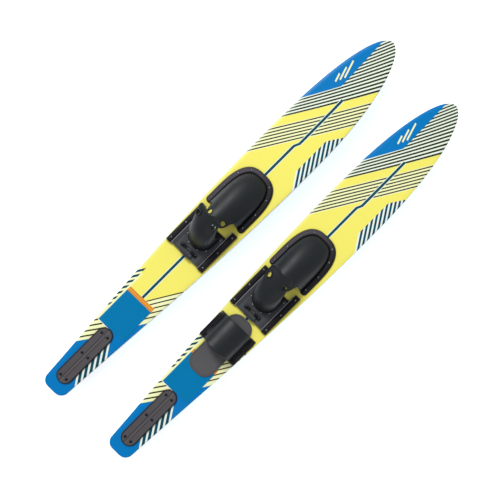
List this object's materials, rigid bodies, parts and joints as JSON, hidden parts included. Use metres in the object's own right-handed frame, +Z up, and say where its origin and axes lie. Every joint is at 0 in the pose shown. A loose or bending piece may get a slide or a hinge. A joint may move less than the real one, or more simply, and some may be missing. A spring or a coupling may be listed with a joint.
{
  "type": "water ski pair",
  "caption": "Pair of combo water skis with rubber toe and sliding heel bindings, tail fins, and a rear toe piece on one ski.",
  "frame": {"origin": "on the ground plane under the fins, midway between the skis and halfway along them", "axes": "+Y from tails to tips, +X from the left ski to the right ski, +Z up from base to deck"},
  "size_m": [0.526, 1.6999, 0.2129],
  "materials": {
    "board": "glossy printed laminate, yellow with blue and teal panels",
    "traction_pad": "matt blue pad with a fine square grid",
    "fin": "moulded black plastic",
    "fin_plate": "moulded dark grey plastic",
    "frame_plastic": "satin black moulded plastic",
    "heel_plate": "satin charcoal plastic with ribs",
    "lever_plastic": "satin black moulded plastic",
    "boot_rubber": "soft satin black rubber",
    "foot_pad": "matt grey foam rubber",
    "steel": "bright stainless steel"
  },
  "bodies": {
    "left_board": {"left_ski": "board", "left_traction_pad": "traction_pad", "left_fin": "fin", "left_fin_top_plate": "fin_plate", "left_toe_boot": "boot_rubber", "left_toe_frame": "frame_plastic", "left_toe_frame_screws": "steel", "left_left_rail": "frame_plastic", "left_right_rail": "frame_plastic", "left_left_rail_screws": "steel", "left_right_rail_screws": "steel", "left_lock_rack": "steel", "left_fin_screw_1": "steel", "left_fin_screw_2": "steel", "left_fin_screw_3": "steel", "left_fin_screw_4": "steel", "left_fin_screw_5": "steel", "left_fin_screw_6": "steel"},
    "left_heel_carriage": {"left_heel_slider": "frame_plastic", "left_heel_top_plate": "heel_plate", "left_heel_boot": "boot_rubber", "left_heel_rivets": "steel", "left_lock_pin": "steel", "left_lock_spring": "steel"},
    "left_lever": {"left_lock_lever": "lever_plastic"},
    "right_board": {"right_ski": "board", "right_traction_pad": "traction_pad", "right_fin": "fin", "right_fin_top_plate": "fin_plate", "right_toe_boot": "boot_rubber", "right_toe_frame": "frame_plastic", "right_toe_frame_screws": "steel", "right_left_rail": "frame_plastic", "right_right_rail": "frame_plastic", "right_left_rail_screws": "steel", "right_right_rail_screws": "steel", "right_lock_rack": "steel", "right_fin_screw_1": "steel", "right_fin_screw_2": "steel", "right_fin_screw_3": "steel", "right_fin_screw_4": "steel", "right_fin_screw_5": "steel", "right_fin_screw_6": "steel", "right_rear_foot_pad": "foot_pad", "right_rear_strap": "boot_rubber", "right_rear_left_clamp": "frame_plastic", "right_rear_right_clamp": "frame_plastic", "right_rear_left_clamp_screws": "steel", "right_rear_right_clamp_screws": "steel"},
    "right_heel_carriage": {"right_heel_slider": "frame_plastic", "right_heel_top_plate": "heel_plate", "right_heel_boot": "boot_rubber", "right_heel_rivets": "steel", "right_lock_pin": "steel", "right_lock_spring": "steel"},
    "right_lever": {"right_lock_lever": "lever_plastic"}
  },
  "joints": [
    {"name": "left_heel_slide", "type": "slide", "parent": "left_board", "child": "left_heel_carriage", "axis": [0, 1, 0], "range_m": [0, 0.04]},
    {"name": "left_lever_hinge", "type": "hinge", "parent": "left_heel_carriage", "child": "left_lever", "pos_m": [-0.155, -0.166, 0.0933], "axis": [-1, 0, 0], "range_deg": [0, 25], "stiffness_Nm_per_rad": 0.03},
    {"name": "right_ski_apart", "type": "slide", "parent": "left_board", "child": "right_board", "axis": [1, 0, 0], "range_m": [0, 0.3]},
    {"name": "right_heel_slide", "type": "slide", "parent": "right_board", "child": "right_heel_carriage", "axis": [0, 1, 0], "range_m": [0, 0.04]},
    {"name": "right_lever_hinge", "type": "hinge", "parent": "right_heel_carriage", "child": "right_lever", "pos_m": [0.155, -0.166, 0.0933], "axis": [-1, 0, 0], "range_deg": [0, 25], "stiffness_Nm_per_rad": 0.03}
  ]
}
